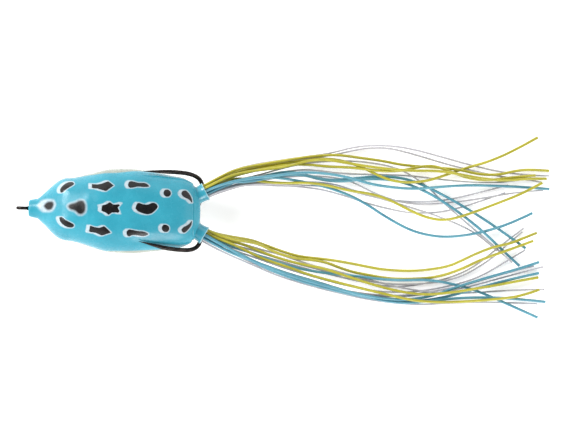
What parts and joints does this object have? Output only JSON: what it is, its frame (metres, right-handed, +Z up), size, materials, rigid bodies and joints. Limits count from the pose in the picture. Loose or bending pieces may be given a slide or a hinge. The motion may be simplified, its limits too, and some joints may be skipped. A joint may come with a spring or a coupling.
{
  "type": "topwater popper",
  "caption": "Hollow soft frog-shaped topwater popper with a snout cup, a double hook lying along its back, an inner weight and rattle, and two long skirt legs.",
  "frame": {"origin": "middle of the lure without its skirt strands, on the flat of the belly", "axes": "+X from nose to tail, +Y to the lure's right through the line eye, +Z up"},
  "size_m": [0.1922, 0.0661, 0.0224],
  "materials": {
    "body_skin": "gloss soft plastic, painted",
    "hook_black": "black nickel",
    "weight_brass": "turned",
    "rattle_tube": "drawn tube",
    "rattle_ball": "polished",
    "plug_plastic": "moulded",
    "band_rubber": "matt",
    "strand_yellow": "silicone",
    "strand_blue": "silicone",
    "strand_clear": "translucent silicone"
  },
  "bodies": {
    "shell": {"body_shell": "body_skin", "skirt_band_left": "band_rubber", "skirt_band_right": "band_rubber", "skirt_plug_left": "plug_plastic", "skirt_plug_right": "plug_plastic", "strand_left_blue_1": "strand_blue", "strand_left_blue_2": "strand_blue", "strand_left_blue_3": "strand_blue", "strand_left_blue_4": "strand_blue", "strand_left_clear_1": "strand_clear", "strand_left_clear_2": "strand_clear", "strand_left_clear_3": "strand_clear", "strand_left_clear_4": "strand_clear", "strand_left_clear_5": "strand_clear", "strand_left_clear_6": "strand_clear", "strand_left_clear_7": "strand_clear", "strand_left_yellow_1": "strand_yellow", "strand_left_yellow_2": "strand_yellow", "strand_left_yellow_3": "strand_yellow", "strand_left_yellow_4": "strand_yellow", "strand_right_blue_1": "strand_blue", "strand_right_blue_2": "strand_blue", "strand_right_blue_3": "strand_blue", "strand_right_blue_4": "strand_blue", "strand_right_clear_1": "strand_clear", "strand_right_clear_2": "strand_clear", "strand_right_clear_3": "strand_clear", "strand_right_clear_4": "strand_clear", "strand_right_clear_5": "strand_clear", "strand_right_clear_6": "strand_clear", "strand_right_clear_7": "strand_clear", "strand_right_clear_8": "strand_clear", "strand_right_yellow_1": "strand_yellow", "strand_right_yellow_2": "strand_yellow", "strand_right_yellow_3": "strand_yellow", "strand_right_yellow_4": "strand_yellow", "strand_right_yellow_5": "strand_yellow"},
    "hook": {"double_hook": "hook_black", "belly_weight": "weight_brass", "rattle_tube": "rattle_tube", "rattle_plug_front": "plug_plastic", "rattle_plug_rear": "plug_plastic", "rattle_band_front": "band_rubber", "rattle_band_rear": "band_rubber"},
    "ball_front": {"rattle_ball_front": "rattle_ball"},
    "ball_middle": {"rattle_ball_middle": "rattle_ball"},
    "ball_rear": {"rattle_ball_rear": "rattle_ball"}
  },
  "joints": [
    {"name": "hook_slide", "type": "slide", "parent": "shell", "child": "hook", "axis": [0.9985, 0, -0.0553], "range_m": [-0.0008, 0]},
    {"name": "rattle_ball_front_roll", "type": "slide", "parent": "hook", "child": "ball_front", "axis": [0.9985, 0, -0.0553], "range_m": [-0.0009, 0.0009]},
    {"name": "rattle_ball_middle_roll", "type": "slide", "parent": "hook", "child": "ball_middle", "axis": [0.9985, 0, -0.0553], "range_m": [-0.0009, 0.0009]},
    {"name": "rattle_ball_rear_roll", "type": "slide", "parent": "hook", "child": "ball_rear", "axis": [0.9985, 0, -0.0553], "range_m": [-0.0009, 0.0009]}
  ]
}
